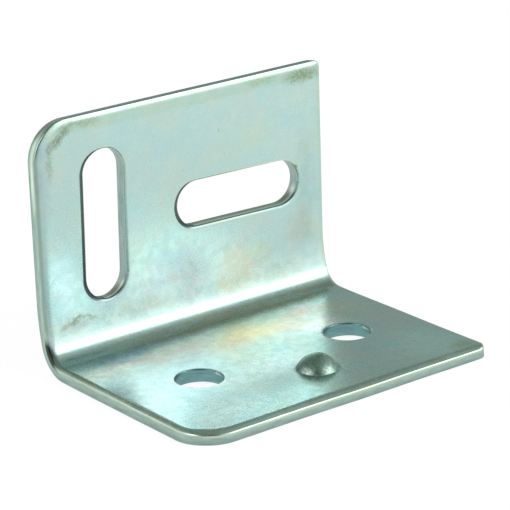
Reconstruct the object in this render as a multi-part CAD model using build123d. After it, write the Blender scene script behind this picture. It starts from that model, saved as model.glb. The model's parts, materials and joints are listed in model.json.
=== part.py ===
from build123d import *
import math
import os

# Stretcher plate: one steel sheet folded once to a right angle, in millimetres.
# The base lies on the XY plane, the upright stands along its +Y edge and +X runs along the fold.
# The origin is on the underside, in the middle of the footprint.

# Sheet and flanges
plate_length = 38.0
base_depth = 29.0
upright_height = 27.5
sheet_thickness = 1.5

# Fold: a tight bend leaves the base, and an easy one runs out into the upright
tight_inner_radius = 2.3
easy_inner_radius = 21.0
easy_turn = 12.0

# Outline corners: well rounded at the left end, barely broken at the right end
left_corner_radius = 4.2
right_corner_radius = 0.3

# Slots in the upright, each placed by its centre, and both turned a little clockwise
slot_width = 5.2
slot_length = 16.8
slot_skew = 1.2
upright_slot_from_left = 8.35
upright_slot_height = 15.1
cross_slot_from_right = 11.8
cross_slot_height = 14.6

# Screw holes in the base, the pair set a little right of the plate's middle
hole_diameter = 5.2
hole_spacing = 20.1
hole_pair_offset = 0.45
holes_from_back = 16.0

# Pip pressed up between the holes, and the pit that the punch leaves under it
pip_offset = 1.3
pip_from_back = 22.1
pip_base_radius = 2.2
pip_height = 1.6
pit_radius = 1.7
pit_depth = 1.3

# Edges: rolled over on the punched side, only broken on the other
rolled_edge_radius = 0.25
back_edge_radius = 0.1

# Places worked out from the sizes
left_end = -plate_length / 2
right_end = plate_length / 2
back_plane = base_depth / 2
front_plane = -base_depth / 2
cut_through = 4 * sheet_thickness
same_place = 0.01

# An edge can be rounded only by less than the corner that it runs around
corner_room = 0.9 * min(left_corner_radius, right_corner_radius)


def sheet_section():
    """The folded sheet seen along the fold: two flats joined by the tight and the easy bend."""
    easy_centre_y = back_plane - sheet_thickness - easy_inner_radius
    radius_step = easy_inner_radius - tight_inner_radius
    turn = math.radians(easy_turn)
    tight_centre_y = easy_centre_y + radius_step * math.cos(turn)
    tight_centre_z = sheet_thickness + tight_inner_radius
    easy_centre_z = tight_centre_z + radius_step * math.sin(turn)
    tight_outer_radius = tight_inner_radius + sheet_thickness
    easy_outer_radius = easy_inner_radius + sheet_thickness
    tight_turn = 90 - easy_turn
    tight_centre = (tight_centre_y, tight_centre_z)
    easy_centre = (easy_centre_y, easy_centre_z)
    front_face_y = back_plane - sheet_thickness
    outline = [
        Line((front_plane, sheet_thickness), (tight_centre_y, sheet_thickness)),
        CenterArc(tight_centre, tight_inner_radius, -90, tight_turn),
        CenterArc(easy_centre, easy_inner_radius, -easy_turn, easy_turn),
        Line((front_face_y, easy_centre_z), (front_face_y, upright_height)),
        Line((front_face_y, upright_height), (back_plane, upright_height)),
        Line((back_plane, upright_height), (back_plane, easy_centre_z)),
        CenterArc(easy_centre, easy_outer_radius, -easy_turn, easy_turn),
        CenterArc(tight_centre, tight_outer_radius, -90, tight_turn),
        Line((tight_centre_y, 0), (front_plane, 0)),
        Line((front_plane, 0), (front_plane, sheet_thickness)),
    ]
    return make_face(outline)


def folded_sheet():
    """The section carried along the fold, with the outline's four corners rounded."""
    section = Plane.YZ.offset(left_end) * sheet_section()
    sheet = extrude(section, plate_length)
    base_corners = sheet.edges().filter_by(Axis.Z).group_by(Axis.Y)[0]
    upright_corners = sheet.edges().filter_by(Axis.Y).group_by(Axis.Z)[-1]
    corners = base_corners + upright_corners
    sheet = fillet(corners.group_by(Axis.X)[0], left_corner_radius)
    base_corners = sheet.edges().filter_by(Axis.Z).group_by(Axis.Y)[0]
    upright_corners = sheet.edges().filter_by(Axis.Y).group_by(Axis.Z)[-1]
    corners = base_corners + upright_corners
    return fillet(corners.group_by(Axis.X)[-1], right_corner_radius)


def slot_cutter(along_fold, height, turn):
    """A round-ended bar through the upright, its long side turned from the level by an angle."""
    face = Plane(origin=(along_fold, back_plane, height), x_dir=(1, 0, 0), z_dir=(0, -1, 0))
    outline = face * Rot(0, 0, turn) * SlotOverall(slot_length, slot_width)
    return extrude(outline, cut_through, both=True)


def hole_cutter(along_fold):
    """A round bar through the base."""
    place = Pos(along_fold, back_plane - holes_from_back, 0)
    return place * Cylinder(hole_diameter / 2, cut_through)


def dome(base_radius, height):
    """A ball's cap that stands on the XY plane."""
    ball_radius = (base_radius**2 + height**2) / (2 * height)
    ball = Pos(0, 0, height - ball_radius) * Sphere(ball_radius)
    return split(ball, Plane.XY, keep=Keep.TOP)


def rim(faces):
    """The edges around a run of joined faces, and around the openings in it."""
    edges = ShapeList(edge for face in faces for edge in face.edges())
    return ShapeList(edge for edge in edges if sum(edge.is_same(other) for other in edges) == 1)


def side_faces(sheet, depth):
    """The flats and bends of the sheet that lie at one depth from its back and underside."""
    flats = sheet.faces().filter_by(GeomType.PLANE)
    on_base = flats.filter_by(lambda face: abs(face.center().Z - depth) < same_place)
    on_upright = flats.filter_by(lambda face: abs(face.center().Y - back_plane + depth) < same_place)
    radii = [radius + sheet_thickness - depth for radius in (tight_inner_radius, easy_inner_radius)]
    curved = sheet.faces().filter_by(GeomType.CYLINDER)
    along_fold = curved.filter_by(lambda face: face.bounding_box().size.X > plate_length / 2)
    bends = along_fold.filter_by(lambda face: min(abs(face.radius - radius) for radius in radii) < same_place)
    return on_base + on_upright + bends


def stretcher_plate():
    """The folded sheet with its slots, holes, rolled edges and pip."""
    sheet = folded_sheet()
    sheet -= slot_cutter(left_end + upright_slot_from_left, upright_slot_height, 90 - slot_skew)
    sheet -= slot_cutter(right_end - cross_slot_from_right, cross_slot_height, -slot_skew)
    for side in (-1, 1):
        sheet -= hole_cutter(hole_pair_offset + side * hole_spacing / 2)
    sheet = fillet(rim(side_faces(sheet, sheet_thickness)), min(rolled_edge_radius, corner_room))
    sheet = fillet(rim(side_faces(sheet, 0)), min(back_edge_radius, corner_room))
    pip_place = Pos(pip_offset, back_plane - pip_from_back, 0)
    sheet += pip_place * Pos(0, 0, sheet_thickness) * dome(pip_base_radius, pip_height)
    sheet -= pip_place * dome(pit_radius, pit_depth)
    return sheet


os.makedirs("parts", exist_ok=True)
plate = stretcher_plate()
export_step(plate, "parts/stretcher_plate.step")
print("stretcher_plate", plate.bounding_box(), "volume", round(plate.volume, 1))
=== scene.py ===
import json
import math
from functools import partial

import bpy
import numpy as np
from mathutils import Matrix, Vector


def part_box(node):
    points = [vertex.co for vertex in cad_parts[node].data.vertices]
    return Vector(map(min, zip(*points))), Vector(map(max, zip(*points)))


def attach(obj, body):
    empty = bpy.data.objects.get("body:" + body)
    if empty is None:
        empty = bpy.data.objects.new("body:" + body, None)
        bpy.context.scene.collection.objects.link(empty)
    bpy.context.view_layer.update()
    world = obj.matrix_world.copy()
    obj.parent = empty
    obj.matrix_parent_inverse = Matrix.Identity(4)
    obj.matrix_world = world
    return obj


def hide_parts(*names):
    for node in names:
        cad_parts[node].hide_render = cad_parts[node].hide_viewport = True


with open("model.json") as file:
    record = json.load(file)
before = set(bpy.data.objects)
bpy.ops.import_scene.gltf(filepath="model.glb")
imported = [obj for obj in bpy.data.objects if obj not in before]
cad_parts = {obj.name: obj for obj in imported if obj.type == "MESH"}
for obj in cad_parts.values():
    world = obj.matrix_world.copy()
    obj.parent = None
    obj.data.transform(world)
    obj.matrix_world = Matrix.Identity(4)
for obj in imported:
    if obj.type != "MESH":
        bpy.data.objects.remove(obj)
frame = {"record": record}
cadLow, cadHigh = (np.array(corner) * 1000 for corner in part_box("stretcher_plate"))
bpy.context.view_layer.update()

# All lengths are millimetres until a mesh is made, which takes metres.
toMetres = 0.001


# Where the record puts a mount, in millimetres.
def mountPlace(name):
    for mount in frame["record"]["mounts"]:
        if mount["name"] == name:
            return np.array(mount["pos_m"]) / toMetres
    raise ValueError("no mount is named " + name)


# The plate's sheet: how it is folded and how its openings are cut.
sheet = {
    "thickness": 1.5,
    "tightInnerRadius": 2.3,      # the fold beside the base
    "easyInnerRadius": 21.0,      # where the fold runs out into the upright
    "easyTurn": 12.0,             # degrees of the fold that the easy part takes
    "leftCornerRadius": 4.2,
    "rightBaseRadius": 0.90,
    "rightTopRadius": 0.80,
    "openingRadius": 2.6,         # of both screw holes and of the slots' ends
    "slotLength": 16.8,
    "slotSkew": 1.2,              # degrees clockwise from the front
    "rightReach": 0.14,           # the sheared right end stands out this far
    "rightLean": 0.10,            # and its back this much farther
    "leftLean": 0.04,             # how far the back of the left end stands proud
    "topRise": 0.23,              # the top edge slants: its front stands up,
    "topFall": 0.25,              # and its back falls away from there
    "rightRollShare": 0.25,       # how much of the roll the right end has
    "baseRollShare": 1.60,        # the base's edges are rolled deeper
    "baseRollWidth": 0.84,        # and less wide at the front
    "leftRollWidth": 0.52,        # and still less at the left end
    "footRollWidth": 0.48,        # and least beside the fold
    "topRollShare": 0.65,         # and the top's less wide and less deep
    "bendSpread": 0.10,           # how far the inside of the fold swells at its ends
    "waviness": 0.012,
}

# How far each of these forms reaches over the sheet.
reaches = {
    "rightRoll": 2.0,             # the right end's smaller roll, from the band's inner border
    "baseRoll": 4.0,              # the base's deeper roll, past the fold's start
    "topRoll": 1.0,
    "frontRoll": 2.0,             # the front's wider roll, along the sides
    "footRollStart": 11.0,        # the sides' roll narrows from here on the blank
    "footRoll": 6.0,
    "bend": 2.6,                  # the swell, to either side of the fold's middle
    "bendEnd": 2.5,               # and in from the plate's ends
    "bendBack": 1.6,              # how many times the swell is taken away at the back
    "lean": 1.5,                  # the ends' leans, in from the ends
    "baseLean": 2.8,              # how many times more the left end leans on the base
    "slant": 1.6,                 # the top's slant, down from the top
    "slantFade": 1.2,
}

# How the edges look in section: rolled over by the punch, then a small round, then the cut wall.
outerEdge = {"rollWidth": 1.08, "rollSlope": 22.0, "rollPower": 2.0, "round": 0.24, "backRound": 0.14}
openingEdge = {"rollWidth": 0.74, "rollSlope": 26.0, "rollPower": 1.6, "round": 0.26, "backRound": 0.08}
holeEdge = {"rollWidth": 0.34, "rollSlope": 8.0, "rollPower": 2.0, "round": 0.12, "backRound": 0.08}
profileSteps = {"roll": 14, "round": 9, "wall": 7, "back": 6}

# The slots' rims: less of the opening's roll, but more on the left, where the wall leans in.
slotRim = {"sinkShare": 0.40, "widthShare": 0.40, "leftSink": 1.2, "leftWidth": 0.60, "leftPower": 1.5,
           "uprightPinch": 0.16, "crossPinch": 0.28}

pip = {"offset": 1.3, "fromBack": 22.1, "radius": 2.28, "height": 1.56, "rootFillet": 0.20,
       "tipRise": 0.10, "tipWidth": 0.80, "tipShift": 0.10, "pitRadius": 1.7, "pitDepth": 1.3,
       "filletSteps": 8, "ballSteps": 22}

# The grid that covers the flat of the blank, and the band around it.
mesh = {
    "pitch": 0.42,
    "tightPitch": 0.13,           # around the tight part of the fold
    "bandWidth": 2.5,
    "leftArcSteps": 10,
    "rightArcSteps": 5,
    "leftShrink": 0.75,           # how fast a left corner's radius shrinks inward
    "rightGrow": 0.25,            # and a right one's grows
    "smallestRadius": 0.3,
    "steadyAlong": (-4.0, 4.0),   # between these the band's lines run square to the edge
    "steadyFromFront": 12.0,
    "steadyFromTop": 9.0,
    "outerRings": 2,              # rings that fill a cell, from its border to the edge's section
    "openingRings": 4,
    "pipRings": 5,
    "pitRings": 6,
    "wallReach": 1.01,            # the wall's shading starts this many rounds' widths in from it
    "slack": 0.000001,            # how closely a grid line keeps to a cell's border
    "weldSteps": 10000,           # to a millimetre: points within one step become one
}

# The sheet's slight unevenness: how fast each wave turns along and up the blank, where it starts, and
# its share.
ripples = [(0.31, 0.17, 0.6, 1.0), (-0.41, 0.23, 2.0, 0.7), (0.55, 0.48, 0.0, 0.5)]


# The section of the fold, worked out once from the sizes above.
thickness = sheet["thickness"]
easyTurn = math.radians(sheet["easyTurn"])
tightTurn = math.pi / 2 - easyTurn
radiusStep = sheet["easyInnerRadius"] - sheet["tightInnerRadius"]
easyCentreY = cadHigh[1] - thickness - sheet["easyInnerRadius"]
tightCentreY = easyCentreY + radiusStep * math.cos(easyTurn)
tightCentreZ = thickness + sheet["tightInnerRadius"]
easyCentreZ = tightCentreZ + radiusStep * math.sin(easyTurn)
tightStart = tightCentreY - cadLow[1]
easyStart = tightStart + sheet["tightInnerRadius"] * tightTurn
uprightStart = easyStart + sheet["easyInnerRadius"] * easyTurn
blankLength = uprightStart + cadHigh[2] - easyCentreZ
blankLow = np.array([cadLow[0], 0.0])
blankHigh = np.array([cadHigh[0], blankLength])

# The border of the blank's grid, and its cells: each holds an opening or the pip, from its low corner
# to its high one.
gridLow = blankLow + mesh["bandWidth"]
gridHigh = blankHigh - mesh["bandWidth"]
cells = {
    "left_screw_hole": ((-14.9, 8.8), (-5.4, 17.2)),
    "right_screw_hole": ((6.3, 8.8), (14.7, 17.2)),
    "upright_slot": ((-14.9, 29.9), (-5.4, gridHigh[1])),
    "cross_slot": ((-2.6, 34.9), (gridHigh[0], 43.6)),
    "pip": ((-2.6, 3.0), (5.2, 10.8)),
}


# How far along the blank a height on the upright's flat lies.
def blankHeight(z):
    return uprightStart + z - easyCentreZ


# Folds the flat blank. The point starts on the inner face: straight along the base, around the
# tight arc, around the easy arc, then straight up. Depth goes from there square into the sheet.
def foldBlank(along, run, depth):
    tightAngle = np.clip((run - tightStart) / sheet["tightInnerRadius"], 0, tightTurn)
    easyAngle = np.clip((run - easyStart) / sheet["easyInnerRadius"], 0, easyTurn)
    angle = tightAngle + easyAngle
    baseRun = np.minimum(run, tightStart)
    uprightRun = np.maximum(run - uprightStart, 0)
    tightRadius = sheet["tightInnerRadius"]
    easyRadius = sheet["easyInnerRadius"]
    y = cadLow[1] + baseRun + tightRadius * np.sin(tightAngle)
    y = y + easyRadius * (np.sin(angle) - np.sin(tightAngle))
    z = thickness + tightRadius * (1 - np.cos(tightAngle))
    z = z + easyRadius * (np.cos(tightAngle) - np.cos(angle)) + uprightRun
    y = y + depth * np.sin(angle)
    z = z - depth * np.cos(angle)
    return np.stack([along, y, z], axis=-1)


# Lines from the first stop to the last, evenly spaced between neighbours at about the pitch.
def gridLines(stops, pitches):
    runs = []
    for low, high, pitch in zip(stops[:-1], stops[1:], pitches):
        count = max(1, round((high - low) / pitch))
        runs.append(np.linspace(low, high, count + 1)[:-1])
    return np.append(np.concatenate(runs), stops[-1])


# One side of a rounded rectangle, with a point for each grid line: half an arc, a straight stretch
# and half an arc. Gives the place along the side and the distance in from it.
def sidePoints(lines, low, high, radii, steps, fixed):
    count = len(lines) - 1
    index = np.arange(count + 1)
    turnLow = math.pi / 4 * np.clip(1 - index / steps[0], 0, 1)
    turnHigh = math.pi / 4 * np.clip((index - count + steps[1]) / steps[1], 0, 1)
    straight = np.interp(
        lines,
        [lines[steps[0]], *fixed, lines[count - steps[1]]],
        [low + radii[0], *fixed, high - radii[1]],
    )
    place = straight - radii[0] * np.sin(turnLow) + radii[1] * np.sin(turnHigh)
    inward = radii[0] * (1 - np.cos(turnLow)) + radii[1] * (1 - np.cos(turnHigh))
    return place, inward


# Joins four sides, each low to high, into one loop that runs anticlockwise.
def closedLoop(bottom, right, top, left):
    return np.concatenate([bottom[:-1], right[:-1], top[::-1][:-1], left[::-1][:-1]])


# The blank's rounded outline, moved inward. The corner radius shrinks with it, and ends at a small
# one that keeps the loop smooth.
def outlineLoop(uLines, vLines, inset):
    low = blankLow + inset
    high = blankHigh - inset
    leftRadius = max(sheet["leftCornerRadius"] - mesh["leftShrink"] * inset, mesh["smallestRadius"])
    baseRadius = sheet["rightBaseRadius"] + mesh["rightGrow"] * inset
    topRadius = sheet["rightTopRadius"] + mesh["rightGrow"] * inset
    arcs = (mesh["leftArcSteps"], mesh["rightArcSteps"])
    leftArcs = (mesh["leftArcSteps"], mesh["leftArcSteps"])
    rightArcs = (mesh["rightArcSteps"], mesh["rightArcSteps"])
    uFixed = mesh["steadyAlong"]
    vFixed = (mesh["steadyFromFront"], blankLength - mesh["steadyFromTop"])
    along, inward = sidePoints(uLines, low[0], high[0], (leftRadius, baseRadius), arcs, uFixed)
    bottom = np.stack([along, low[1] + inward], axis=-1)
    along, inward = sidePoints(uLines, low[0], high[0], (leftRadius, topRadius), arcs, uFixed)
    top = np.stack([along, high[1] - inward], axis=-1)
    along, inward = sidePoints(vLines, low[1], high[1], (leftRadius, leftRadius), leftArcs, vFixed)
    left = np.stack([low[0] + inward, along], axis=-1)
    along, inward = sidePoints(vLines, low[1], high[1], (baseRadius, topRadius), rightArcs, vFixed)
    right = np.stack([high[0] - inward, along], axis=-1)
    return closedLoop(bottom, right, top, left)


# The grid points around a rectangular cell, anticlockwise.
def cellLoop(uLines, vLines):
    bottom = np.stack([uLines, np.full_like(uLines, vLines[0])], axis=-1)
    top = np.stack([uLines, np.full_like(uLines, vLines[-1])], axis=-1)
    left = np.stack([np.full_like(vLines, uLines[0]), vLines], axis=-1)
    right = np.stack([np.full_like(vLines, uLines[-1]), vLines], axis=-1)
    return closedLoop(bottom, right, top, left)


# The section through an edge, as distance from the wall and depth from the face. The face sinks by
# a power curve, a round turns it down, the wall is straight and the back has a small round. Gives
# also how far down the wall each point lies, and how much of its depth is the face's sinking.
def edgeProfile(edge):
    slope = math.radians(edge["rollSlope"])
    rounding = edge["round"]
    start = rounding * (1 - math.sin(slope))
    span = edge["rollWidth"] - start
    sink = math.tan(slope) * span / edge["rollPower"]
    share = np.linspace(0, 1, profileSteps["roll"])
    rollDistance = edge["rollWidth"] - share * span
    rollDepth = sink * share ** edge["rollPower"]
    turn = np.linspace(slope, math.pi / 2, profileSteps["round"])[1:]
    roundDistance = rounding * (1 - np.sin(turn))
    roundDepth = sink + rounding * (math.cos(slope) - np.cos(turn))
    wallEnd = thickness - edge["backRound"]
    wallDepth = np.linspace(roundDepth[-1], wallEnd, profileSteps["wall"])[1:-1]
    backTurn = np.linspace(0, math.pi / 2, profileSteps["back"])
    backDistance = edge["backRound"] * (1 - np.cos(backTurn))
    backDepth = wallEnd + edge["backRound"] * np.sin(backTurn)
    distance = np.concatenate([rollDistance, roundDistance, 0 * wallDepth, backDistance])
    depth = np.concatenate([rollDepth, roundDepth, wallDepth, backDepth])
    wallShare = np.clip(depth / wallEnd, 0, 1) * (distance < mesh["wallReach"] * rounding)
    sunk = np.minimum(depth, sink) * np.clip((wallEnd - depth) / (wallEnd - sink - rounding), 0, 1)
    return distance, depth, wallShare, sunk


# Rings between two loops at one depth, without the first and the last of them.
def fillRings(near, far, count, depth):
    share = np.linspace(0, 1, count + 2)[1:-1, None, None]
    rings = near[None] * (1 - share) + far[None] * share
    return rings, np.full(count, depth)


# Quads between neighbouring rings.
def ringFaces(ringCount, pointCount, closed=True):
    index = np.arange(ringCount * pointCount).reshape(ringCount, pointCount)
    following = np.roll(index, -1, axis=1)
    quads = np.stack([index[:-1], following[:-1], following[1:], index[1:]], axis=-1)
    if not closed:
        quads = quads[:, :-1]
    return quads.reshape(-1, 4)


# An edge's section carried around its loop, from the cell's border on the face, over the edge and
# down the wall, to the cell's border on the back.
def bandPatch(loopAt, cell, edge, fillCount, side, sinkShare=1.0, widthShare=1.0):
    distance, depth, wallShare, sunk = edgeProfile(edge)
    loops = np.stack([loopAt(value) for value in distance])
    widthShare = np.broadcast_to(widthShare, len(cell))[:, None]
    loops = loopAt(0.0) + (loops - loopAt(0.0)) * widthShare
    frontRings, frontDepth = fillRings(cell, loops[0], fillCount, 0.0)
    backRings, backDepth = fillRings(loops[-1], cell, fillCount, thickness)
    rings = np.concatenate([cell[None], frontRings, loops, backRings, cell[None]])
    depths = np.concatenate([[0.0], frontDepth, depth, backDepth, [thickness]])
    walls = np.concatenate([np.zeros(fillCount + 1), wallShare, np.zeros(fillCount + 1)])
    faces = ringFaces(len(rings), rings.shape[1])
    if side == "inside":
        faces = faces[:, ::-1]
    count = rings.shape[1]
    lift = np.concatenate([np.zeros(fillCount + 1), sunk, np.zeros(fillCount + 1)])
    depths = depths[:, None] - lift[:, None] * (1 - np.broadcast_to(sinkShare, count))[None]
    points = np.concatenate([rings, depths[:, :, None]], axis=-1)
    return points.reshape(-1, 3), faces, np.repeat(walls, count)


# The opening's rim moved outward by a distance. Each of the cell's border points looks for the
# nearest point of the opening's middle line, and its rim point lies on the way there. The pinch is how
# far the wall leans in on the left: the pinch times a power of the direction's leftward part.
def slotLoop(cell, centre, halfLine, pinch, distance):
    offset = cell - centre
    length = np.linalg.norm(halfLine)
    unit = halfLine / length if length > 0 else np.array([1.0, 0.0])
    nearest = centre + np.clip(offset @ unit, -length, length)[:, None] * unit
    direction = cell - nearest
    direction = direction / np.linalg.norm(direction, axis=1, keepdims=True)
    leftward = np.clip(-direction[:, 0], 0, 1) ** slotRim["leftPower"]
    reach = sheet["openingRadius"] + distance - pinch * leftward
    return nearest + reach[:, None] * direction


# A ball's cap that meets the flat in a fillet, as distance from the axis and height, from the foot
# to the tip.
def domeProfile(radius, height, fillet):
    ballRadius = (radius**2 + height**2) / (2 * height)
    ballCentre = height - ballRadius
    footDistance = math.sqrt((ballRadius + fillet) ** 2 - (fillet - ballCentre) ** 2)
    contact = math.atan2(footDistance, fillet - ballCentre)
    filletTurn = np.linspace(0, contact, pip["filletSteps"])
    ballTurn = np.linspace(contact, 0, pip["ballSteps"])[1:]
    distance = np.concatenate([footDistance - fillet * np.sin(filletTurn), ballRadius * np.sin(ballTurn)])
    rise = np.concatenate([fillet * (1 - np.cos(filletTurn)), ballCentre + ballRadius * np.cos(ballTurn)])
    return distance, rise


# A cell with a dome in its middle, raised towards less depth. The pit below is the same. The pip's
# tip rises by a bell curve of the distance from the axis, and shifts with the square of its height.
def domePatch(cell, centre, radius, height, fillet, depth, fillCount):
    distance, rise = domeProfile(radius, height, fillet)
    outward = (cell - centre) / np.linalg.norm(cell - centre, axis=1, keepdims=True)
    loops = centre + distance[:, None, None] * outward[None]
    fill, fillDepth = fillRings(cell, loops[0], fillCount, depth)
    if depth == 0:
        rise = rise + pip["tipRise"] * np.exp(-((distance / pip["tipWidth"]) ** 2))
        loops[:, :, 0] += (pip["tipShift"] * np.clip(rise / height, 0, 1) ** 2)[:, None]
    rings = np.concatenate([cell[None], fill, loops])
    depths = np.concatenate([[depth], fillDepth, depth - rise])
    count = rings.shape[1]
    points = np.concatenate([rings, np.repeat(depths[:, None, None], count, axis=1)], axis=-1)
    faces = ringFaces(len(rings), count)
    return points.reshape(-1, 3), faces, np.zeros(len(rings) * count)


# The blank's grid at one depth, without the cells that hold an opening or the pip.
def flatPatch(uLines, vLines, holes, depth):
    u, v = np.meshgrid(uLines, vLines, indexing="ij")
    points = np.stack([u, v, np.full_like(u, depth)], axis=-1)
    faces = ringFaces(len(uLines), len(vLines), closed=False)
    middle = points.reshape(-1, 3)[faces].mean(axis=1)
    keep = np.ones(len(faces), dtype=bool)
    for low, high in holes:
        inside = np.all((middle[:, :2] > low) & (middle[:, :2] < high), axis=1)
        keep &= ~inside
    return points.reshape(-1, 3), faces[keep], np.zeros(u.size)


# The border points of a cell on the grid.
def cellBorder(uLines, vLines, name):
    low, high = np.array(cells[name]) + [[-mesh["slack"]], [mesh["slack"]]]
    across = uLines[(uLines > low[0]) & (uLines < high[0])]
    upward = vLines[(vLines > low[1]) & (vLines < high[1])]
    return cellLoop(across, upward)


# The grid's lines, which pass through the borders of all the cells and the bounds of the fold.
def blankGrid():
    corners = np.array(list(cells.values())).reshape(-1, 2)
    folds = [tightStart, easyStart, uprightStart]
    uStops = sorted({gridLow[0], gridHigh[0], *corners[:, 0]})
    vStops = sorted({gridLow[1], gridHigh[1], *corners[:, 1], *folds})
    vPitches = [mesh["pitch"]] * (len(vStops) - 1)
    vPitches[vStops.index(tightStart)] = mesh["tightPitch"]
    return gridLines(uStops, [mesh["pitch"]] * (len(uStops) - 1)), gridLines(vStops, vPitches)


# The centre of each opening on the blank, and half of its middle line. A hole's is a point.
def openingPlaces():
    skew = math.radians(sheet["slotSkew"])
    halfLine = sheet["slotLength"] / 2 - sheet["openingRadius"]
    halfLines = {
        "left_screw_hole": np.zeros(2),
        "right_screw_hole": np.zeros(2),
        "upright_slot": halfLine * np.array([math.sin(skew), math.cos(skew)]),
        "cross_slot": halfLine * np.array([math.cos(skew), -math.sin(skew)]),
    }
    openings = {}
    for name, run in halfLines.items():
        along, y, z = mountPlace(name)
        onBlank = blankHeight(z) if run.any() else y - cadLow[1]
        openings[name] = (np.array([along, onBlank]), run)
    return openings


# How deep and how wide the roll is at each point around the outline, as shares of the full roll. Both
# are straight ramps between the values for the base, the top, the left, the right and the front.
def outlineRoll(border):
    along, run = border.T
    atRightEnd = np.clip((along - gridHigh[0]) / reaches["rightRoll"] + 1, 0, 1)
    onBase = np.clip(1 - (run - tightStart) / reaches["baseRoll"], 0, 1)
    atTop = np.clip((run - gridHigh[1]) / reaches["topRoll"] + 1, 0, 1)
    fromFront = np.clip((run - gridLow[1]) / reaches["frontRoll"], 0, 1)
    towardsFold = np.clip((run - reaches["footRollStart"]) / reaches["footRoll"], 0, 1)
    topShare = 1 - (1 - sheet["topRollShare"]) * atTop
    sideWidth = sheet["leftRollWidth"] * (1 - towardsFold) + sheet["footRollWidth"] * towardsFold
    baseWidth = sheet["baseRollWidth"] * (1 - fromFront) + sideWidth * fromFront
    widthShare = topShare * (1 - (1 - baseWidth) * onBase)
    sinkShare = topShare + (sheet["baseRollShare"] - 1) * onBase
    return sinkShare * (1 - (1 - sheet["rightRollShare"]) * atRightEnd), widthShare


# Every patch of the blank: the flats, the outline's band, the openings' bands and the pip.
def blankPatches(openings):
    uLines, vLines = blankGrid()
    patches = [flatPatch(uLines, vLines, cells.values(), 0.0)]
    points, faces, wall = flatPatch(uLines, vLines, cells.values(), thickness)
    patches.append((points, faces[:, ::-1], wall))
    border = cellLoop(uLines, vLines)
    outline = partial(outlineLoop, uLines, vLines)
    rings = mesh["outerRings"]
    patches.append(bandPatch(outline, border, outerEdge, rings, "outside", *outlineRoll(border)))
    pinches = {"upright_slot": slotRim["uprightPinch"], "cross_slot": slotRim["crossPinch"]}
    for name, (centre, run) in openings.items():
        cell = cellBorder(uLines, vLines, name)
        rim = partial(slotLoop, cell, centre, run, pinches.get(name, 0.0))
        if name in pinches:
            leftward = np.clip(rim(0.0)[:, 0] - rim(1.0)[:, 0], 0, 1) ** slotRim["leftPower"]
            sinkShare = slotRim["sinkShare"] + slotRim["leftSink"] * leftward
            widthShare = slotRim["widthShare"] + slotRim["leftWidth"] * leftward
            edge = openingEdge
        else:
            sinkShare, widthShare, edge = 1.0, 1.0, holeEdge
        rings = mesh["openingRings"]
        patches.append(bandPatch(rim, cell, edge, rings, "inside", sinkShare, widthShare))
    cell = cellBorder(uLines, vLines, "pip")
    centre = np.array([pip["offset"], cadHigh[1] - pip["fromBack"] - cadLow[1]])
    fillet = pip["rootFillet"]
    rings = mesh["pipRings"]
    points, faces, wall = domePatch(cell, centre, pip["radius"], pip["height"], fillet, 0.0, rings)
    patches.append((points, faces[:, ::-1], wall))
    rings = mesh["pitRings"]
    patches.append(domePatch(cell, centre, pip["pitRadius"], pip["pitDepth"], fillet, thickness, rings))
    return patches


# Puts the patches together and makes points at the same place one point.
def weldPatches(patches):
    starts = np.cumsum([0] + [len(patch[0]) for patch in patches[:-1]])
    points = np.concatenate([patch[0] for patch in patches])
    faces = np.concatenate([patch[1] + start for patch, start in zip(patches, starts)])
    wall = np.concatenate([patch[2] for patch in patches])
    keys = np.round(points * mesh["weldSteps"]).astype(np.int64)
    unique, first, inverse = np.unique(keys, axis=0, return_index=True, return_inverse=True)
    faces = inverse.reshape(-1)[faces][:, ::-1]
    used, faces = np.unique(faces, return_inverse=True)
    return points[first][used], faces.reshape(-1, 4), wall[first][used]


# Quads that lost a corner at the pip's tip become triangles.
def splitPoles(faces):
    doubled = faces == np.roll(faces, -1, axis=1)
    plain = faces[~doubled.any(axis=1)]
    rest = faces[doubled.any(axis=1)]
    triangles = [list(dict.fromkeys(face)) for face in rest.tolist()]
    return plain.tolist() + [face for face in triangles if len(face) == 3]


# How deep the uneven sheet lies at a place on the blank: long sine waves that cross.
def wave(u, v):
    swell = sum(share * np.sin(along * u + up * v + start) for along, up, start, share in ripples)
    return sheet["waviness"] * swell


# How far each point of the blank lies in from the outline. Beside a rounded corner it is the corner's
# radius less the distance from the corner's centre.
def outlineGap(points):
    place = points[:, :2]
    gap = np.minimum(place - blankLow, blankHigh - place).min(axis=1)
    radius = sheet["leftCornerRadius"]
    fromLeft = place[:, 0] - blankLow[0]
    fromEnd = np.minimum(place[:, 1] - blankLow[1], blankHigh[1] - place[:, 1])
    inCorner = (fromLeft < radius) & (fromEnd < radius)
    rounded = radius - np.hypot(radius - fromLeft, radius - fromEnd)
    return np.maximum(np.where(inCorner, rounded, gap), 0)


# How far each point lies from the nearest rim of an opening: its distance from the opening's middle
# line, less the radius.
def rimGap(points, openings):
    gaps = []
    for centre, run in openings.values():
        length = np.linalg.norm(run)
        unit = run / length if length > 0 else np.array([1.0, 0.0])
        offset = points[:, :2] - centre
        nearest = np.clip(offset @ unit, -length, length)[:, None] * unit
        gaps.append(np.linalg.norm(offset - nearest, axis=1) - sheet["openingRadius"])
    return np.maximum(np.min(gaps, axis=0), 0)


# Keeps one value or vector for each point of a mesh, for the material to read.
def storeOnPoints(target, name, values, kind, field):
    layer = target.attributes.new(name, kind, "POINT")
    layer.data.foreach_set(field, values.astype(np.float32).ravel())


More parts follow.
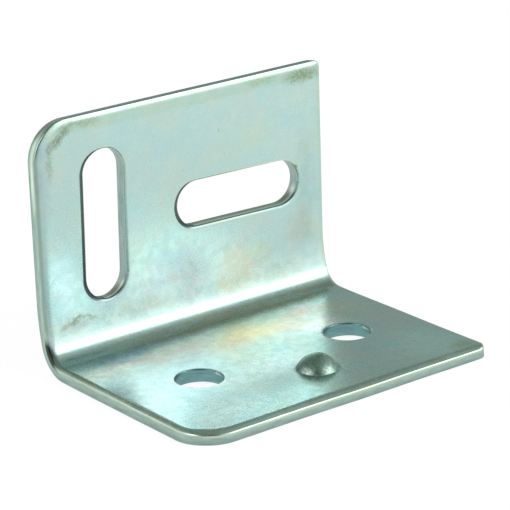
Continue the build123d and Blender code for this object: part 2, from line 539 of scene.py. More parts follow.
# How far the sheared ends and the squeezed fold move a point along the fold. The swell is a bell curve
# around the fold's middle times a square ramp at the plate's ends. The leans are straight ramps.
def endShift(u, v, through):
    bendMiddle = (tightStart + easyStart) / 2
    nearBend = np.exp(-(((v - bendMiddle) / reaches["bend"]) ** 2))
    inFromEnd = blankHigh[0] - np.abs(u)
    endShare = np.clip(1 - inFromEnd / reaches["bendEnd"], 0, 1) ** 2
    backShare = 1 - reaches["bendBack"] * through
    swell = sheet["bendSpread"] * nearBend * endShare * backShare
    onBase = np.clip(1 - (v - tightStart) / reaches["baseRoll"], 0, 1)
    leanShare = np.clip(1 - inFromEnd / reaches["lean"], 0, 1)
    rightLean = sheet["rightReach"] + sheet["rightLean"] * through
    leftLean = sheet["leftLean"] * (1 + reaches["baseLean"] * onBase) * through
    return np.sign(u) * (swell + leanShare * np.where(u > 0, rightLean, leftLean))


# The whole plate as one closed mesh.
def buildPlate():
    openings = openingPlaces()
    points, faces, wall = weldPatches(blankPatches(openings))
    u, v, depth = points.T
    through = np.clip(depth / thickness, 0, 1)
    atTop = np.clip((v - blankLength + reaches["slant"]) / reaches["slantFade"], 0, 1)
    rise = atTop * (sheet["topRise"] - sheet["topFall"] * through)
    placed = foldBlank(u + endShift(u, v, through), v + rise, depth + wave(u, v) * (v > 0))
    plateMesh = bpy.data.meshes.new("stretcherPlate")
    plateMesh.from_pydata((placed * toMetres).tolist(), [], splitPoles(faces))
    storeOnPoints(plateMesh, "sheetPlace", points, "FLOAT_VECTOR", "vector")
    for name, values in [
        ("cutWall", wall),
        ("outlineGap", outlineGap(points)),
        ("rimGap", rimGap(points, openings)),
    ]:
        storeOnPoints(plateMesh, name, values, "FLOAT", "value")
    plateMesh.shade_smooth()
    plateMesh.validate()
    plate = bpy.data.objects.new("plate", plateMesh)
    bpy.context.collection.objects.link(plate)
    return plate


# The zinc's colours and gloss, and the light and shade painted into its colour. A wall is a cut face of
# the sheet, and a tint multiplies a colour.
zinc = {
    "uprightColour": (0.458, 0.648, 0.610),
    # greyer than the upright: painted reflection
    "baseColour": (0.535, 0.655, 0.635),
    "driftTints": ((1.04, 1.0, 0.97), (0.96, 1.0, 1.02)),    # broad clouds, warm and cool
    "filmTint": (1.04, 0.99, 0.98),           # smaller clouds
    "fleckColour": (0.16, 0.20, 0.18),
    "fleckStrength": 0.5,
    "grainStrength": 0.018,
    "oliveTint": (0.95, 0.95, 0.87),          # along the top edge and the right end
    "leftEdgeShade": (0.60, 0.618, 0.588),     # painted shade where the upright's face rolls over at the left
    "baseRimTint": (0.86, 0.90, 0.76),        # beside the base's walls
    "shearColour": (0.42, 0.55, 0.47),        # of the outer walls beside the face
    "fractureColour": (0.29, 0.42, 0.38),     # and beside the back
    "baseWallTint": (0.87, 0.88, 0.88),
    # painted shade on the upright's top wall, where it looks up
    "topWallShade": (0.30, 0.34, 0.33),
    "polishedColour": (0.66, 0.82, 0.66),     # of the left wall's rubbed streak, high up
    "streakSpan": (0.88, 1.12),               # the punch's scores across the walls
    "streakStretch": (0.14, 0.14, 1.0),
    # painted shade inside the screw holes
    "holeWallShade": (0.18, 0.35, 0.355),
    # painted shade on the slots' walls
    "slotWallShade": (0.31, 0.42, 0.39),
    "lowerWallLight": (0.50, 0.53, 0.47),    # painted light on a slot's wall, where it looks up
    "rimBandShade": (0.28, 0.39, 0.36),      # painted shade on a slot's wall, next to the face
    "lowerBandHighlight": (0.94, 1.00, 0.92),    # and painted highlight where that looks up
    # painted highlight on the torn bevel
    "tornBevelHighlight": (0.86, 0.95, 0.90),
    "tornSpot": ((14.9, 38.1), (0.6, 0.9)),   # place and reach, at the cross slot's right end
    "upperRimHighlight": (1.20, 1.06, 0.98),       # painted highlight and shade on a slot's rolled rim, by the side it lies on
    "rightRimShade": (0.70, 0.74, 0.74),
    "lowerRimShade": (0.64, 0.62, 0.60),
    "rimShadeLine": (0.035, 0.065, 0.058),   # of the thin line of painted shade on a slot's left
    "rimShadeLineStrength": 0.9,
    "foldEndShade": (0.042, 0.062, 0.042),   # painted shade on the wall at the fold's left end, beside the face
    "foldFootShade": (0.32, 0.42, 0.39),     # and on the face there
    "foldEndSpot": ((-19.3, 27.1), (0.9, 1.6)),
    "foldEndStrength": 1.7,
    # grainy painted shade on the pip
    "pipShade": (0.44, 0.58, 0.48),
    "roughness": 0.27,
    "roughnessSpread": 0.05,
    "wallRoughness": 0.40,
    "pipRoughness": 0.10,                     # added to the roughness of the zinc there
    "bumpHeight": 0.0006,
}

# Each noise: how wide its grains are, its detail and its roughness.
grains = {
    "drift": (5.0, 4.0, 0.55),
    "film": (1.9, 2.0, 0.5),
    "mottle": (0.9, 3.0, 0.6),
    "crumbs": (0.22, 3.0, 0.7),
    "fine": (0.30, 4.0, 0.75),
    "flecks": (0.55, 2.0, 0.6),
    "sparse": (4.0, 1.0, 0.5),
    "streaks": (0.30, 2.0, 0.6),
    "gloss": (1.2, 4.0, 0.6),
    "bump": (0.35, 4.0, 0.6),
}

# Where each shading starts from nothing, and where it is full.
fades = {
    "drift": (0.35, 0.65),                    # these are values of a noise
    "film": (0.42, 0.66),
    "mottle": (0.25, 0.60),
    "crumbs": (0.34, 0.60),
    "fine": (0.25, 0.75),
    "flecks": (0.69, 0.75),
    "sparse": (0.46, 0.60),
    "streaks": (0.3, 0.7),
    "gloss": (0.3, 0.7),
    "softSpot": (1.35, 0.15),                 # shares of a spot's reach
    "onFront": (0.60 * thickness, 0.45 * thickness),
    "onUpright": (tightStart, easyStart),     # places on the blank
    "onBase": (tightStart + 3.0, tightStart),
    "aboveFold": (easyStart, easyStart + 2.0),
    "besideFront": (1.6, 0.6),
    "topEdge": (blankLength - 1.9, blankLength - 1.3),
    "belowTop": (blankLength - 1.6, blankLength - 3.0),
    "polishedHeight": (blankLength - 11.0, blankLength - 7.5),
    "rightEdge": (blankHigh[0] - 0.8, blankHigh[0] - 0.3),
    "leftOfRight": (blankHigh[0] - 0.6, blankHigh[0] - 1.6),
    "closeToEdge": (0.45, 0.15),              # distances from the outline
    "nearEdge": (1.5, 0.1),
    "baseRim": (0.34, 0.18),
    "atRim": (1.0, 0.4),                      # from an opening's rim
    "onPip": (2.7, 2.2),                      # and from the pip's axis
    "onWall": (0.22, 0.36),                   # shares of the sheet's thickness, down a wall
    "shearToFracture": (0.35, 1.0),
    "polishedTop": (0.36, 0.50),
    "polishedFoot": (0.88, 0.66),
    "bandToWall": (0.40, 0.62),
    "tornFoot": (0.85, 0.60),
    "foldEndFoot": (0.58, 0.42),
    "faceToFoldEnd": (0.0, 0.12),
    "wallLooksUp": (0.3, 0.8),                # parts of the face's normal
    "topWall": (0.6, 0.95),
    "rimLooksUp": (0.06, 0.25),
    "rimLooksDown": (-0.02, -0.12),
    "rimLooksLeft": (-0.15, -0.40),
    "rimLooksRight": (0.04, 0.18),
    "rimLooksForward": (-0.10, -0.30),
}

# What some of these go from and to. The others go from nothing to one.
shares = {
    "crumbs": (0.25, 1.0),
    "mottle": (0.55, 1.0),
    "fine": (1 - zinc["grainStrength"], 1 + zinc["grainStrength"]),
    "streaks": zinc["streakSpan"],
    "gloss": (-zinc["roughnessSpread"], zinc["roughnessSpread"]),
    "closeToEdge": (0.0, 0.6),
    "nearEdge": (0.0, 0.4),
    "besideFront": (0.0, 0.12),
}

# What pushes the outlines of the stains, of the patches of painted light and shade, and of the dirt
# about: a noise, as above, and how far.
wanders = {
    "stainsAndPaintedLight": ((2.2, 3.0, 0.6), 3.4),
    "smudges": ((0.6, 3.0, 0.6), 1.2),
}
spotDepth = 1000                              # far more than the sheet, so that a spot goes through it

# Soft stains in the passivated film, and soft patches of painted light and shade: place, reach and turn
# of the patch, and what it multiplies the zinc's colour by.
stainsAndPaintedLight = [
    ((9.2, 31.6), (3.6, 1.9), 0, (0.99, 0.89, 0.78)),      # yellow, low on the upright
    ((6.0, 33.0), (2.6, 1.6), 0, (0.94, 0.86, 0.85)),      # sand, beside it
    ((9.4, 45.2), (3.4, 1.6), 0, (1.06, 1.01, 0.93)),      # yellow, over the cross slot
    ((5.6, 44.2), (2.2, 1.6), 0, (1.05, 0.99, 0.94)),
    ((16.6, 38.4), (1.5, 6.5), 0, (0.86, 0.88, 0.87)),     # duller, at the upright's right end
    ((15.6, 33.0), (2.4, 3.0), 0, (0.94, 0.86, 0.82)),
    ((-1.6, 33.0), (5.6, 2.6), 0, (0.97, 0.88, 0.93)),     # mauve, mid low
    ((-10.4, 30.8), (3.0, 1.4), 0, (0.95, 0.91, 0.96)),    # and under the upright slot
    ((-16.4, 34.2), (2.0, 4.2), 0, (1.15, 1.13, 1.22)),    # painted light: brighter and bluer, low on the left
    ((2.0, 20.7), (7.6, 3.0), 0, (1.13, 1.01, 0.80)),      # yellow stain on the base beside the fold, partly painted reflection
    ((10.6, 21.0), (3.6, 1.7), 0, (1.18, 0.76, 0.75)),     # pink, right of it, partly painted reflection
    ((6.6, 18.4), (2.8, 1.5), 0, (1.14, 0.92, 0.84)),
    ((-2.0, 18.4), (3.4, 1.8), 0, (1.12, 0.93, 0.84)),
    ((-8.2, 20.6), (4.4, 2.2), 0, (1.08, 0.92, 0.86)),     # pink, over the left hole
    ((-13.0, 21.6), (2.8, 1.6), 0, (1.04, 0.80, 0.78)),
    ((-16.4, 20.4), (2.6, 2.6), 0, (0.98, 0.78, 0.74)),    # olive, at the left end
    ((-7.0, 24.0), (7.0, 1.1), 0, (0.92, 0.92, 1.12)),     # blue, in the fold's foot
    ((6.8, 14.9), (1.8, 1.6), 0, (0.94, 1.02, 1.03)),      # cyan, beside the right hole
    ((15.5, 19.8), (2.6, 2.6), 0, (1.20, 1.00, 0.90)),     # brown, behind the right hole
    ((16.5, 14.0), (2.2, 5.0), 0, (1.12, 0.97, 0.97)),
    ((-14.5, 10.0), (9.0, 11.0), 0, (1.32, 1.28, 1.36)),   # painted light: paler, at the base's left end
    # painted light: paler, along the base's front
    ((-7.0, 3.0), (8.0, 3.6), 0, (1.30, 1.33, 1.35)),
    ((-4.5, 6.2), (5.0, 2.4), 0, (0.86, 0.86, 0.90)),      # painted shade: greyer, between the pip and the front
    ((-4.0, 20.6), (11.0, 3.6), 0, (0.93, 0.80, 0.81)),    # rose grey, along the fold's foot
    ((7.5, 17.6), (5.5, 3.6), 0, (1.24, 1.02, 1.00)),      # painted light: rose and brighter, at the light's right border
    # painted light: brighter still
    ((9.8, 15.8), (3.2, 2.8), 0, (1.50, 1.34, 1.42)),
    ((-1.0, 10.6), (4.6, 2.6), 0, (1.30, 1.18, 1.28)),     # painted light: paler, left of the pip
    ((-13.0, 23.1), (5.2, 1.5), 0, (0.54, 0.62, 0.74)),    # painted shade: slate, at the fold's left foot
    ((-4.0, 24.9), (8.0, 1.4), 0, (1.02, 0.78, 0.68)),     # olive, in the fold
    ((4.0, 24.9), (8.0, 1.6), 0, (1.02, 0.84, 0.76)),
    ((12.5, 24.7), (7.0, 1.6), 0, (1.04, 0.84, 0.72)),
    ((-19.1, 27.2), (0.45, 1.8), 0, (0.84, 0.88, 0.90)),   # painted shade, at the fold's left end
    ((2.6, 19.4), (4.4, 2.0), 0, (1.20, 1.09, 0.96)),      # lemon, beside the fold
    # painted light: paler, at the base's right end
    ((14.5, 4.5), (5.0, 5.0), 0, (1.11, 1.18, 1.17)),
    ((-17.9, 46.0), (0.8, 5.0), 0, (0.92, 0.90, 0.98)),    # grey blue, down the upright's left edge
    ((-15.6, 29.6), (2.6, 1.0), 0, (0.80, 0.76, 0.76)),    # painted shade, in a strip above the fold's bright band
    ((-5.6, 29.2), (3.4, 1.4), 0, (0.80, 0.71, 0.68)),
    ((0.0, 29.1), (3.4, 1.3), 0, (0.75, 0.76, 0.80)),
    ((5.6, 29.0), (3.4, 1.5), 0, (0.92, 0.76, 0.62)),
    ((11.4, 28.8), (3.6, 1.2), 0, (0.93, 0.88, 0.81)),
    ((-5.4, 31.2), (3.8, 1.4), 0, (0.86, 0.81, 0.86)),     # painted shade too, over that strip
    ((0.2, 31.0), (3.4, 1.4), 0, (0.92, 0.83, 0.83)),
    ((6.0, 30.8), (3.4, 1.4), 0, (1.00, 0.88, 0.83)),
]

# Grainy dirt and small marks, in the same way.
smudges = [
    ((-15.9, 50.4), (2.4, 0.62), 38, (0.46, 0.43, 0.31)),  # round the upright's top left corner
    ((-17.3, 48.0), (0.50, 2.2), 0, (0.74, 0.73, 0.60)),
    ((-12.8, 51.3), (2.2, 0.45), 0, (0.70, 0.69, 0.55)),
    ((16.5, 50.9), (2.7, 0.80), 0, (0.46, 0.48, 0.30)),    # top right corner
    ((10.8, 51.3), (2.4, 0.5), 0, (0.78, 0.80, 0.66)),
    ((-15.3, 29.9), (0.90, 0.38), 22, (0.46, 0.41, 0.26)),  # streak, low on the left
    ((-13.7, 30.0), (1.6, 0.26), -12, (0.66, 0.60, 0.44)),
    ((-16.5, 29.5), (1.0, 0.26), 20, (0.74, 0.69, 0.54)),
    ((15.2, 40.6), (0.30, 0.20), 30, (0.30, 0.32, 0.28)),  # nick at the cross slot's right end
    ((17.2, 1.8), (1.8, 1.1), 0, (0.80, 0.76, 0.50)),      # front right corner
]


# A shader node with its settings, its links and its unlinked inputs.
def addNode(tree, kind, inputs=None, links=None, **settings):
    node = tree.nodes.new(kind)
    for name, value in settings.items():
        setattr(node, name, value)
    for name, value in (inputs or {}).items():
        node.inputs[name].default_value = value
    for name, source in (links or {}).items():
        tree.links.new(source, node.inputs[name])
    return node


# A sum of two shader values. Each may be a number or a socket.
def combine(tree, operation, *values):
    numbers = {i: value for i, value in enumerate(values) if not hasattr(value, "node")}
    sockets = {i: value for i, value in enumerate(values) if hasattr(value, "node")}
    return addNode(tree, "ShaderNodeMath", numbers, sockets, operation=operation).outputs[0]


# All the shader values multiplied together.
def product(tree, first, *others):
    for other in others:
        first = combine(tree, "MULTIPLY", first, other)
    return first


# Turns a value from one span into another, with soft ends.
def remap(tree, value, fromSpan, toSpan=(0.0, 1.0)):
    spans = {"From Min": fromSpan[0], "From Max": fromSpan[1], "To Min": toSpan[0], "To Max": toSpan[1]}
    node = addNode(tree, "ShaderNodeMapRange", spans, {"Value": value}, interpolation_type="SMOOTHSTEP")
    return node.outputs["Result"]


# A value faded as the dictionaries above say.
def faded(tree, value, name):
    return remap(tree, value, fades[name], shares.get(name, (0.0, 1.0)))


# Mixes two colours by a share. Each may be a tuple or a socket.
def mixColours(tree, share, first, second, blend="MIX"):
    node = addNode(tree, "ShaderNodeMix", data_type="RGBA", blend_type=blend)
    for index, value in ((0, share), (6, first), (7, second)):
        if hasattr(value, "node"):
            tree.links.new(value, node.inputs[index])
        elif index == 0:
            node.inputs[0].default_value = value
        else:
            node.inputs[index].default_value = (*value, 1)
    return node.outputs[2]


# The colour multiplied by a tint, as far as the share says.
def tinted(tree, share, colour, tint):
    return mixColours(tree, share, colour, mixColours(tree, 1.0, colour, tint, "MULTIPLY"))


# A grey of the value's brightness.
def greyOf(tree, value):
    return addNode(tree, "ShaderNodeCombineColor", links={0: value, 1: value, 2: value}).outputs[0]


# Vector sums on shader sockets.
def vectorNode(tree, operation, inputs, links):
    return addNode(tree, "ShaderNodeVectorMath", inputs, links, operation=operation).outputs


# Noise whose grains are about so many millimetres wide.
def noise(tree, place, size, detail, roughness, output="Fac"):
    inputs = {"Scale": 1 / size, "Detail": detail, "Roughness": roughness}
    return addNode(tree, "ShaderNodeTexNoise", inputs, {"Vector": place}).outputs[output]


# One of the noises above, faded.
def fadedNoise(tree, place, name):
    return faded(tree, noise(tree, place, *grains[name]), name)


# One in the middle of an ellipse on the blank, and zero outside it.
def softSpot(tree, place, centre, reach, turn=0):
    mapping = addNode(
        tree,
        "ShaderNodeMapping",
        {"Location": (*centre, 0), "Rotation": (0, 0, math.radians(turn)), "Scale": (*reach, spotDepth)},
        {"Vector": place},
        vector_type="TEXTURE",
    )
    length = vectorNode(tree, "LENGTH", {}, {0: mapping.outputs[0]})["Value"]
    return faded(tree, length, "softSpot")


# Where the point lies on the flat blank, pushed about a little so that no patch has a clean outline.
def wanderingPlace(tree, place, name):
    grain, reach = wanders[name]
    offset = noise(tree, place, *grain, "Color")
    centred = vectorNode(tree, "SUBTRACT", {1: (0.5, 0.5, 0.5)}, {0: offset})[0]
    scaled = vectorNode(tree, "SCALE", {"Scale": reach}, {0: centred})[0]
    return vectorNode(tree, "ADD", {}, {0: place, 1: scaled})[0]


# What the plating reads from the mesh at each point, and the masks that most parts of it share.
def readPlate(tree):
    read = {"place": addNode(tree, "ShaderNodeAttribute", attribute_name="sheetPlace").outputs["Vector"]}
    for name in ("cutWall", "outlineGap", "rimGap"):
        read[name] = addNode(tree, "ShaderNodeAttribute", attribute_name=name).outputs["Fac"]
    onBlank = addNode(tree, "ShaderNodeSeparateXYZ", links={0: read["place"]}).outputs
    read["along"], read["run"], read["depth"] = onBlank["X"], onBlank["Y"], onBlank["Z"]
    normal = addNode(tree, "ShaderNodeNewGeometry").outputs["True Normal"]
    tilt = addNode(tree, "ShaderNodeSeparateXYZ", links={0: normal}).outputs
    read["tiltX"], read["tiltY"], read["tiltZ"] = tilt["X"], tilt["Y"], tilt["Z"]
    read["onFront"] = faded(tree, read["depth"], "onFront")
    read["onUpright"] = faded(tree, read["run"], "onUpright")
    read["atRim"] = faded(tree, read["rimGap"], "atRim")
    read["crumbs"] = product(tree, fadedNoise(tree, read["place"], "crumbs"), read["onFront"])
    return read


# Mint on the upright and greyer on the base, with two sizes of clouds. The base's greyer colour is
# painted reflection.
def cleanColour(tree, read):
    colour = mixColours(tree, read["onUpright"], zinc["baseColour"], zinc["uprightColour"])
    drift = mixColours(tree, fadedNoise(tree, read["place"], "drift"), *zinc["driftTints"])
    colour = mixColours(tree, 1.0, colour, drift, "MULTIPLY")
    film = mixColours(tree, fadedNoise(tree, read["place"], "film"), (1.0, 1.0, 1.0), zinc["filmTint"])
    return mixColours(tree, 1.0, colour, film, "MULTIPLY")


# The film's stains, soft patches of painted light and shade, and the dirt, all on the front side only.
def stainedAndPaintedLightColour(tree, read, colour):
    wandering = wanderingPlace(tree, read["place"], "stainsAndPaintedLight")
    mottle = product(tree, fadedNoise(tree, read["place"], "mottle"), read["onFront"])
    for centre, reach, turn, tint in stainsAndPaintedLight:
        share = product(tree, softSpot(tree, wandering, centre, reach, turn), mottle)
        colour = tinted(tree, share, colour, tint)
    broken = wanderingPlace(tree, read["place"], "smudges")
    for centre, reach, turn, tint in smudges:
        share = product(tree, softSpot(tree, broken, centre, reach, turn), read["crumbs"])
        colour = tinted(tree, share, colour, tint)
    return colour


# A fine even grain, and small dark flecks here and there.
def grainyColour(tree, read, colour):
    grey = greyOf(tree, fadedNoise(tree, read["place"], "fine"))
    colour = mixColours(tree, 1.0, colour, grey, "MULTIPLY")
    flecks = fadedNoise(tree, read["place"], "flecks")
    sparse = fadedNoise(tree, read["place"], "sparse")
    share = product(tree, flecks, sparse, zinc["fleckStrength"])
    return mixColours(tree, share, colour, zinc["fleckColour"])


# The face beside the outline: olive at the top and the right, and painted shade where the left edge rolls
# over.
def edgeColour(tree, read, colour):
    atTop = faded(tree, read["run"], "topEdge")
    atRight = faded(tree, read["along"], "rightEdge")
    colour = tinted(tree, combine(tree, "MAXIMUM", atTop, atRight), colour, zinc["oliveTint"])
    belowTop = faded(tree, read["run"], "belowTop")
    leftOfRight = faded(tree, read["along"], "leftOfRight")
    aboveFold = faded(tree, read["run"], "aboveFold")
    close = faded(tree, read["outlineGap"], "closeToEdge")
    near = faded(tree, read["outlineGap"], "nearEdge")
    share = product(tree, combine(tree, "ADD", close, near), belowTop, leftOfRight, aboveFold)
    return tinted(tree, share, colour, zinc["leftEdgeShade"])


# The outer walls: sheared beside the face and torn off beside the back, with a rubbed streak.
def outerWallColour(tree, read):
    across = faded(tree, read["cutWall"], "shearToFracture")
    colour = mixColours(tree, across, zinc["shearColour"], zinc["fractureColour"])
    tint = mixColours(tree, read["onUpright"], zinc["baseWallTint"], (1.0, 1.0, 1.0))
    colour = mixColours(tree, 1.0, colour, tint, "MULTIPLY")
    below = faded(tree, read["cutWall"], "polishedTop")
    above = faded(tree, read["cutWall"], "polishedFoot")
    high = faded(tree, read["run"], "polishedHeight")
    return mixColours(tree, product(tree, below, above, high), colour, zinc["polishedColour"])


# The openings' walls, in painted shade: a band beside the face that turns into a painted highlight where
# the wall looks up, then the plain wall, lighter in painted light where it looks up, and the torn spot
# with its painted highlight.
def openingWallColour(tree, read):
    lookingUp = product(tree, faded(tree, read["tiltZ"], "wallLooksUp"), read["onUpright"])
    wall = mixColours(tree, lookingUp, zinc["slotWallShade"], zinc["lowerWallLight"])
    band = mixColours(tree, lookingUp, zinc["rimBandShade"], zinc["lowerBandHighlight"])
    slot = mixColours(tree, faded(tree, read["cutWall"], "bandToWall"), band, wall)
    colour = mixColours(tree, read["onUpright"], zinc["holeWallShade"], slot)
    torn = softSpot(tree, read["place"], *zinc["tornSpot"])
    torn = product(tree, torn, faded(tree, read["cutWall"], "tornFoot"))
    return mixColours(tree, torn, colour, zinc["tornBevelHighlight"])


# All cut walls, with the punch's scores across them and painted shade on the upright's top wall, where it
# looks up.
def wallColour(tree, read):
    colour = mixColours(tree, read["atRim"], outerWallColour(tree, read), openingWallColour(tree, read))
    stretched = vectorNode(tree, "MULTIPLY", {1: zinc["streakStretch"]}, {0: read["place"]})[0]
    streaks = greyOf(tree, fadedNoise(tree, stretched, "streaks"))
    colour = mixColours(tree, 1.0, colour, streaks, "MULTIPLY")
    offRim = combine(tree, "SUBTRACT", 1.0, read["atRim"])
    lookingUp = faded(tree, read["tiltZ"], "topWall")
    topWall = product(tree, lookingUp, read["onUpright"], offRim)
    return mixColours(tree, topWall, colour, zinc["topWallShade"])


# The openings' rolled rims, with painted light and shade by the side each looks to: a painted highlight
# where a slot's rim looks down, painted shade where it looks up or left, and the holes' painted wall
# shade where their rims look forward. Then the rim of the base.
def rimColour(tree, read, colour):
    onSlot = product(tree, read["atRim"], read["onUpright"])
    for axis, fade, tint in (
        ("tiltZ", "rimLooksUp", "lowerRimShade"),
        ("tiltZ", "rimLooksDown", "upperRimHighlight"),
        ("tiltX", "rimLooksLeft", "rightRimShade"),
    ):
        share = product(tree, faded(tree, read[axis], fade), onSlot)
        colour = tinted(tree, share, colour, zinc[tint])
    offUpright = combine(tree, "SUBTRACT", 1.0, read["onUpright"])
    forward = faded(tree, read["tiltY"], "rimLooksForward")
    holeRim = product(tree, forward, read["atRim"], offUpright)
    colour = mixColours(tree, holeRim, colour, zinc["holeWallShade"])
    onBase = faded(tree, read["run"], "onBase")
    baseRim = product(tree, faded(tree, read["outlineGap"], "baseRim"), onBase)
    return tinted(tree, baseRim, colour, zinc["baseRimTint"])


# A wedge of painted shade at the fold's left end, over the wall beside the face and a little of the face.
def foldEndShade(tree, read, colour):
    spot = softSpot(tree, read["place"], *zinc["foldEndSpot"])
    spot = combine(tree, "MINIMUM", 1.0, product(tree, spot, zinc["foldEndStrength"]))
    share = product(tree, spot, faded(tree, read["cutWall"], "foldEndFoot"))
    onWall = faded(tree, read["cutWall"], "faceToFoldEnd")
    dark = mixColours(tree, onWall, zinc["foldFootShade"], zinc["foldEndShade"])
    return mixColours(tree, share, colour, dark)


# The thin line of painted shade on the left of each slot.
def rimShadeLine(tree, read, colour):
    looksRight = faded(tree, read["tiltX"], "rimLooksRight")
    share = product(tree, looksRight, read["atRim"], read["onUpright"], zinc["rimShadeLineStrength"])
    return mixColours(tree, share, colour, zinc["rimShadeLine"])


# One on the pip, and zero around it.
def onPipShare(tree, read):
    axis = (pip["offset"], cadHigh[1] - pip["fromBack"] - cadLow[1], 0)
    fromAxis = vectorNode(tree, "DISTANCE", {1: axis}, {0: read["place"]})["Value"]
    return faded(tree, fromAxis, "onPip")


# Bright zinc under a thin clear passivation, from the flats to the walls and the rims, with light and
# shade painted into its colour.
def zincPlating():
    material = bpy.data.materials.new("zinc_plated_steel")
    material.use_nodes = True
    tree = material.node_tree
    shader = tree.nodes["Principled BSDF"]
    read = readPlate(tree)
    colour = cleanColour(tree, read)
    colour = stainedAndPaintedLightColour(tree, read, colour)
    colour = grainyColour(tree, read, colour)
    colour = edgeColour(tree, read, colour)
    colour = rimColour(tree, read, colour)
    besideFront = faded(tree, read["run"], "besideFront")
    onWall = faded(tree, combine(tree, "SUBTRACT", read["cutWall"], besideFront), "onWall")
    colour = mixColours(tree, onWall, colour, wallColour(tree, read))
    colour = foldEndShade(tree, read, colour)
    colour = rimShadeLine(tree, read, colour)
    onPip = onPipShare(tree, read)
    # the pip darkened in grains: painted shade
    pipShade = mixColours(tree, read["crumbs"], (1.0, 1.0, 1.0), zinc["pipShade"])
    tree.links.new(tinted(tree, onPip, colour, pipShade), shader.inputs["Base Color"])
    shader.inputs["Metallic"].default_value = 1.0
    gloss = fadedNoise(tree, read["place"], "gloss")
    faceRoughness = combine(tree, "ADD", zinc["roughness"], gloss)
    onWallExtra = product(tree, onWall, zinc["wallRoughness"] - zinc["roughness"])
    extra = combine(tree, "ADD", onWallExtra, product(tree, onPip, zinc["pipRoughness"]))
    tree.links.new(combine(tree, "ADD", faceRoughness, extra), shader.inputs["Roughness"])
    bump = addNode(
        tree,
        "ShaderNodeBump",
        {"Strength": 1.0, "Distance": zinc["bumpHeight"] * toMetres},
        {"Height": noise(tree, read["place"], *grains["bump"])},
    )
    tree.links.new(bump.outputs["Normal"], shader.inputs["Normal"])
    print("the plating has", len(tree.nodes), "nodes")
    return material


# The studio: a white floor and surroundings. Places and sizes are metres, but the camera's place, lens
# and sensor are millimetres.
studio = {
    "floorReach": 4.0,
    "floorColour": (0.82, 0.82, 0.82),
    "floorRoughness": 0.9,
    "floorWhite": 1.16,           # the brightness of the floor's plain white
    "floorGlow": 0.75,            # how much of the floor's look is that white
    "skyStrength": (0.6, 1.0),    # as a light, and as the camera and the gloss see it
    "target": (0, 0, 0.012),      # what the lamps and the cards face
    "cameraPlace": (-151.8903, -200.1022, 100.3697),
    "cameraAzimuth": -37.0821,
    "cameraElevation": 19.2882,
    "cameraRoll": -1.8901,
    "lens": 177.85,
    "sensorWidth": 36,
    "clip": (0.01, 20),           # nearer and farther than this the camera sees nothing
}

# Soft lamps, and grey cards that only the metal's gloss sees. A card's glare is a brighter spot on it.
softboxes = {
    "rightSoftbox": {"place": (0.22, -0.27, 0.14), "size": (0.28, 0.28), "radiance": 1.80,
                     "colour": (1.0, 0.95, 0.97)},
    "leftSoftbox": {"place": (-0.42, -0.02, 0.16), "size": (0.16, 0.22), "radiance": 2.0,
                    "colour": (1, 1, 1)},
}
ceilingGrey = (0.20, 0.26, 0.22)
ceilingGlare = {"place": (0.22, -0.24, 0.36), "near": 0.05, "far": 0.33, "colour": (0.52, 0.60, 0.57)}
cards = {
    "ceilingFlag": {"place": (0.06, 0.0, 0.36), "size": (0.76, 0.64), "grey": ceilingGrey,
                    "target": (0.06, 0.0, 0), "glare": ceilingGlare},
    "rearCeilingFlag": {"place": (0.12, 0.58, 0.36), "size": (0.94, 0.52), "grey": ceilingGrey,
                        "target": (0.12, 0.58, 0)},
    "rearFlag": {"place": (0.30, 0.26, 0.12), "size": (0.34, 0.24), "grey": (0.33, 0.42, 0.395)},
    "rightFlag": {"place": (0.46, -0.01, 0.12), "size": (0.30, 0.26), "grey": (0.36, 0.42, 0.40)},
    "cameraFlag": {"place": (-0.20, -0.27, 0.17), "size": (0.36, 0.34), "grey": (0.09, 0.105, 0.095)},
}


# One for rays from the camera and for mirrored and passing rays, else zero.
def whiteForCamera(tree):
    path = addNode(tree, "ShaderNodeLightPath").outputs
    direct = combine(tree, "MAXIMUM", path["Is Camera Ray"], path["Is Glossy Ray"])
    return combine(tree, "MAXIMUM", direct, path["Is Transmission Ray"])


# The white surroundings, dimmer as a light than as the camera sees them.
def buildWorld():
    world = bpy.data.worlds.new("studioWorld")
    bpy.context.scene.world = world
    world.use_nodes = True
    tree = world.node_tree
    background = tree.nodes["Background"]
    dim, full = studio["skyStrength"]
    strength = addNode(tree, "ShaderNodeMapRange", {"To Min": dim, "To Max": full})
    tree.links.new(whiteForCamera(tree), strength.inputs["Value"])
    tree.links.new(strength.outputs["Result"], background.inputs["Strength"])
    background.inputs["Color"].default_value = (1, 1, 1, 1)


# A wide pale floor that is nearly white to the camera and still takes the plate's shadow.
def buildFloor():
    half = studio["floorReach"] / 2
    floorMesh = bpy.data.meshes.new("floor")
    corners = [(-half, -half, 0), (half, -half, 0), (half, half, 0), (-half, half, 0)]
    floorMesh.from_pydata(corners, [], [(0, 1, 2, 3)])
    floor = bpy.data.objects.new("floor", floorMesh)
    bpy.context.collection.objects.link(floor)
    material = bpy.data.materials.new("paleFloor")
    material.use_nodes = True
    tree = material.node_tree
    shader = tree.nodes["Principled BSDF"]
    shader.inputs["Base Color"].default_value = (*studio["floorColour"], 1)
    shader.inputs["Roughness"].default_value = studio["floorRoughness"]
    shader.inputs["Specular IOR Level"].default_value = 0.0
    glow = addNode(tree, "ShaderNodeEmission", {"Strength": studio["floorWhite"]})
    share = product(tree, whiteForCamera(tree), studio["floorGlow"])
    links = {"Fac": share, 1: shader.outputs[0], 2: glow.outputs[0]}
    mix = addNode(tree, "ShaderNodeMixShader", links=links)
    tree.links.new(mix.outputs[0], tree.nodes["Material Output"].inputs["Surface"])
    floorMesh.materials.append(material)


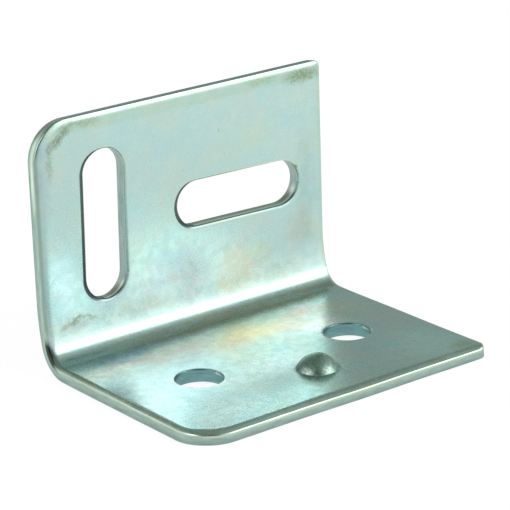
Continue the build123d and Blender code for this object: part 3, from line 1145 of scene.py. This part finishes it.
# Where a lamp or a card stands, with its face turned to its target.
def facing(place, target):
    turn = (Vector(target) - Vector(place)).to_track_quat("-Z", "Y").to_matrix().to_4x4()
    return Matrix.Translation(place) @ turn


# An area lamp with the radiance that its face shows in the metal.
def addSoftbox(name, place, size, radiance, colour):
    lamp = bpy.data.lights.new(name, "AREA")
    lamp.shape = "RECTANGLE"
    lamp.size, lamp.size_y = size
    lamp.energy = radiance * math.pi * size[0] * size[1]
    lamp.color = colour
    holder = bpy.data.objects.new(name, lamp)
    bpy.context.collection.objects.link(holder)
    holder.matrix_world = facing(place, studio["target"])
    holder.visible_camera = False


# A card's glow: its grey, or the glare's colour where that is near.
def cardGlow(name, grey, glare):
    material = bpy.data.materials.new(name)
    material.use_nodes = True
    tree = material.node_tree
    tree.nodes.remove(tree.nodes["Principled BSDF"])
    glow = addNode(tree, "ShaderNodeEmission", {"Strength": 1.0, "Color": (*grey, 1)})
    if glare:
        point = addNode(tree, "ShaderNodeTexCoord").outputs["Object"]
        gap = vectorNode(tree, "DISTANCE", {1: glare["place"]}, {0: point})["Value"]
        share = remap(tree, gap, (glare["far"], glare["near"]))
        tree.links.new(mixColours(tree, share, grey, glare["colour"]), glow.inputs["Color"])
    tree.links.new(glow.outputs[0], tree.nodes["Material Output"].inputs["Surface"])
    return material


# A grey card that shows only in the metal's gloss.
def addCard(name, place, size, grey, target=None, glare=None):
    across, upward = size[0] / 2, size[1] / 2
    corners = [(-across, -upward, 0), (across, -upward, 0), (across, upward, 0), (-across, upward, 0)]
    cardMesh = bpy.data.meshes.new(name)
    cardMesh.from_pydata(corners, [], [(0, 1, 2, 3)])
    cardMesh.transform(facing(place, target or studio["target"]))
    cardMesh.materials.append(cardGlow(name, grey, glare))
    card = bpy.data.objects.new(name, cardMesh)
    bpy.context.collection.objects.link(card)
    card.visible_camera = False
    card.visible_diffuse = False
    card.visible_shadow = False


# The surroundings, the floor, the lamps and the cards.
def buildStudio():
    buildWorld()
    buildFloor()
    for name, softbox in softboxes.items():
        addSoftbox(name, **softbox)
    for name, card in cards.items():
        addCard(name, **card)


# Stands where the photograph was taken from: back, right and up are its own axes.
def buildCamera():
    azimuth = math.radians(studio["cameraAzimuth"])
    elevation = math.radians(studio["cameraElevation"])
    roll = math.radians(studio["cameraRoll"])
    level = math.cos(elevation)
    back = Vector((math.sin(azimuth) * level, -math.cos(azimuth) * level, math.sin(elevation)))
    sideways = Vector((math.cos(azimuth), math.sin(azimuth), 0))
    upwards = back.cross(sideways)
    right = math.cos(roll) * sideways + math.sin(roll) * upwards
    up = -math.sin(roll) * sideways + math.cos(roll) * upwards
    camera = bpy.data.cameras.new("camera")
    camera.lens = studio["lens"]
    camera.sensor_width = studio["sensorWidth"]
    camera.clip_start, camera.clip_end = studio["clip"]
    holder = bpy.data.objects.new("camera", camera)
    bpy.context.collection.objects.link(holder)
    turned = Matrix((right, up, back)).transposed().to_4x4()
    place = Vector(studio["cameraPlace"]) * toMetres
    holder.matrix_world = Matrix.Translation(place) @ turned
    bpy.context.scene.camera = holder


bpy.context.scene.view_settings.view_transform = "Standard"
buildCamera()
buildStudio()
print("the camera and the studio stand")
plate = buildPlate()
plate.data.materials.append(zincPlating())
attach(plate, "root")
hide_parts("stretcher_plate")
print("the plate is folded,", len(plate.data.polygons), "faces")
